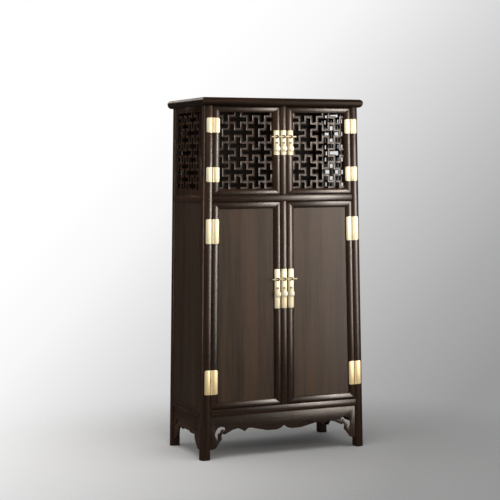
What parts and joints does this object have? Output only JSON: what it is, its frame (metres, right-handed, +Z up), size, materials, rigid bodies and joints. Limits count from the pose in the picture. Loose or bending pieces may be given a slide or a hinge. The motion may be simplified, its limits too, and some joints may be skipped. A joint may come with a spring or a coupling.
{
  "type": "storage cabinet",
  "caption": "Tall two-tier cabinet with splayed posts, lattice doors and sides above, panelled doors below, shaped aprons, face hinges, lock bars and drop pulls.",
  "frame": {"origin": "on the floor, midway between the outermost points in X and in Y", "axes": "+X to the viewer's right along the front, +Y from the front to the back, +Z up"},
  "size_m": [0.9146, 0.4997, 1.8],
  "materials": {
    "frame_wood": "waxed, very dark reddish brown",
    "panel_wood": "waxed, very dark brown",
    "brass": "pale, softly polished"
  },
  "bodies": {
    "cabinet": {"post_front_left": "frame_wood", "post_front_right": "frame_wood", "post_back_left": "frame_wood", "post_back_right": "frame_wood", "cap_rail_front": "frame_wood", "cap_rail_back": "frame_wood", "cap_rail_left": "frame_wood", "cap_rail_right": "frame_wood", "cap_panel": "panel_wood", "middle_rail_front": "frame_wood", "middle_rail_back": "frame_wood", "middle_rails_side": "frame_wood", "bottom_rail_front": "frame_wood", "bottom_rail_back": "frame_wood", "bottom_rails_side": "frame_wood", "upright_upper": "frame_wood", "upright_lower": "frame_wood", "side_frame_left": "frame_wood", "side_frame_right": "frame_wood", "side_lattice_left": "frame_wood", "side_lattice_right": "frame_wood", "side_board_left": "panel_wood", "side_board_right": "panel_wood", "back_panel_upper": "panel_wood", "back_panel_lower": "panel_wood", "bottom_board": "panel_wood", "middle_board": "panel_wood", "shelf": "panel_wood", "shelf_bearers": "panel_wood", "apron_front": "frame_wood", "aprons_side": "frame_wood", "apron_back": "frame_wood", "hinge_seats_left": "brass", "hinge_seats_right": "brass", "lock_plates_middle": "brass"},
    "door_upper_left": {"door_upper_left_frame": "frame_wood", "door_upper_left_lattice": "frame_wood", "hinge_leaves_upper_left": "brass", "lock_plate_upper_left": "brass"},
    "door_upper_right": {"door_upper_right_frame": "frame_wood", "door_upper_right_lattice": "frame_wood", "hinge_leaves_upper_right": "brass", "lock_plate_upper_right": "brass"},
    "lock_bar_upper": {"lock_bar_upper": "brass"},
    "pull_upper_left": {"pull_upper_left": "brass"},
    "pull_upper_middle": {"pull_upper_middle": "brass"},
    "pull_upper_right": {"pull_upper_right": "brass"},
    "door_lower_left": {"door_lower_left_frame": "frame_wood", "door_lower_left_panel": "panel_wood", "hinge_leaves_lower_left": "brass", "lock_plate_lower_left": "brass"},
    "door_lower_right": {"door_lower_right_frame": "frame_wood", "door_lower_right_panel": "panel_wood", "hinge_leaves_lower_right": "brass", "lock_plate_lower_right": "brass"},
    "lock_bar_lower": {"lock_bar_lower": "brass"},
    "pull_lower_left": {"pull_lower_left": "brass"},
    "pull_lower_middle": {"pull_lower_middle": "brass"},
    "pull_lower_right": {"pull_lower_right": "brass"}
  },
  "joints": [
    {"name": "door_upper_left_hinge", "type": "hinge", "parent": "cabinet", "child": "door_upper_left", "pos_m": [-0.38264, -0.231, 1.54021], "axis": [-0.0178, -0.0045, -0.9998], "range_deg": [0, 150]},
    {"name": "door_upper_right_hinge", "type": "hinge", "parent": "cabinet", "child": "door_upper_right", "pos_m": [0.38264, -0.231, 1.54021], "axis": [-0.0178, 0.0045, 0.9998], "range_deg": [0, 150]},
    {"name": "lock_bar_upper_slide", "type": "slide", "parent": "door_upper_right", "child": "lock_bar_upper", "axis": [1, 0, 0], "range_m": [0, 0.12]},
    {"name": "pull_upper_left_swing", "type": "hinge", "parent": "door_upper_left", "child": "pull_upper_left", "pos_m": [-0.038, -0.23863, 1.57753], "axis": [-1, 0, 0], "range_deg": [0, 100]},
    {"name": "pull_upper_middle_swing", "type": "hinge", "parent": "cabinet", "child": "pull_upper_middle", "pos_m": [0, -0.23863, 1.57753], "axis": [-1, 0, 0], "range_deg": [0, 100]},
    {"name": "pull_upper_right_swing", "type": "hinge", "parent": "door_upper_right", "child": "pull_upper_right", "pos_m": [0.038, -0.23863, 1.57753], "axis": [-1, 0, 0], "range_deg": [0, 100]},
    {"name": "door_lower_left_hinge", "type": "hinge", "parent": "cabinet", "child": "door_lower_left", "pos_m": [-0.3965, -0.23454, 0.76021], "axis": [-0.0178, -0.0045, -0.9998], "range_deg": [0, 150]},
    {"name": "door_lower_right_hinge", "type": "hinge", "parent": "cabinet", "child": "door_lower_right", "pos_m": [0.3965, -0.23454, 0.76021], "axis": [-0.0178, 0.0045, 0.9998], "range_deg": [0, 150]},
    {"name": "lock_bar_lower_slide", "type": "slide", "parent": "door_lower_right", "child": "lock_bar_lower", "axis": [1, 0, 0], "range_m": [0, 0.12]},
    {"name": "pull_lower_left_swing", "type": "hinge", "parent": "door_lower_left", "child": "pull_lower_left", "pos_m": [-0.038, -0.24196, 0.84553], "axis": [-1, 0, 0], "range_deg": [0, 100]},
    {"name": "pull_lower_middle_swing", "type": "hinge", "parent": "cabinet", "child": "pull_lower_middle", "pos_m": [0, -0.24196, 0.84553], "axis": [-1, 0, 0], "range_deg": [0, 100]},
    {"name": "pull_lower_right_swing", "type": "hinge", "parent": "door_lower_right", "child": "pull_lower_right", "pos_m": [0.038, -0.24196, 0.84553], "axis": [-1, 0, 0], "range_deg": [0, 100]}
  ]
}
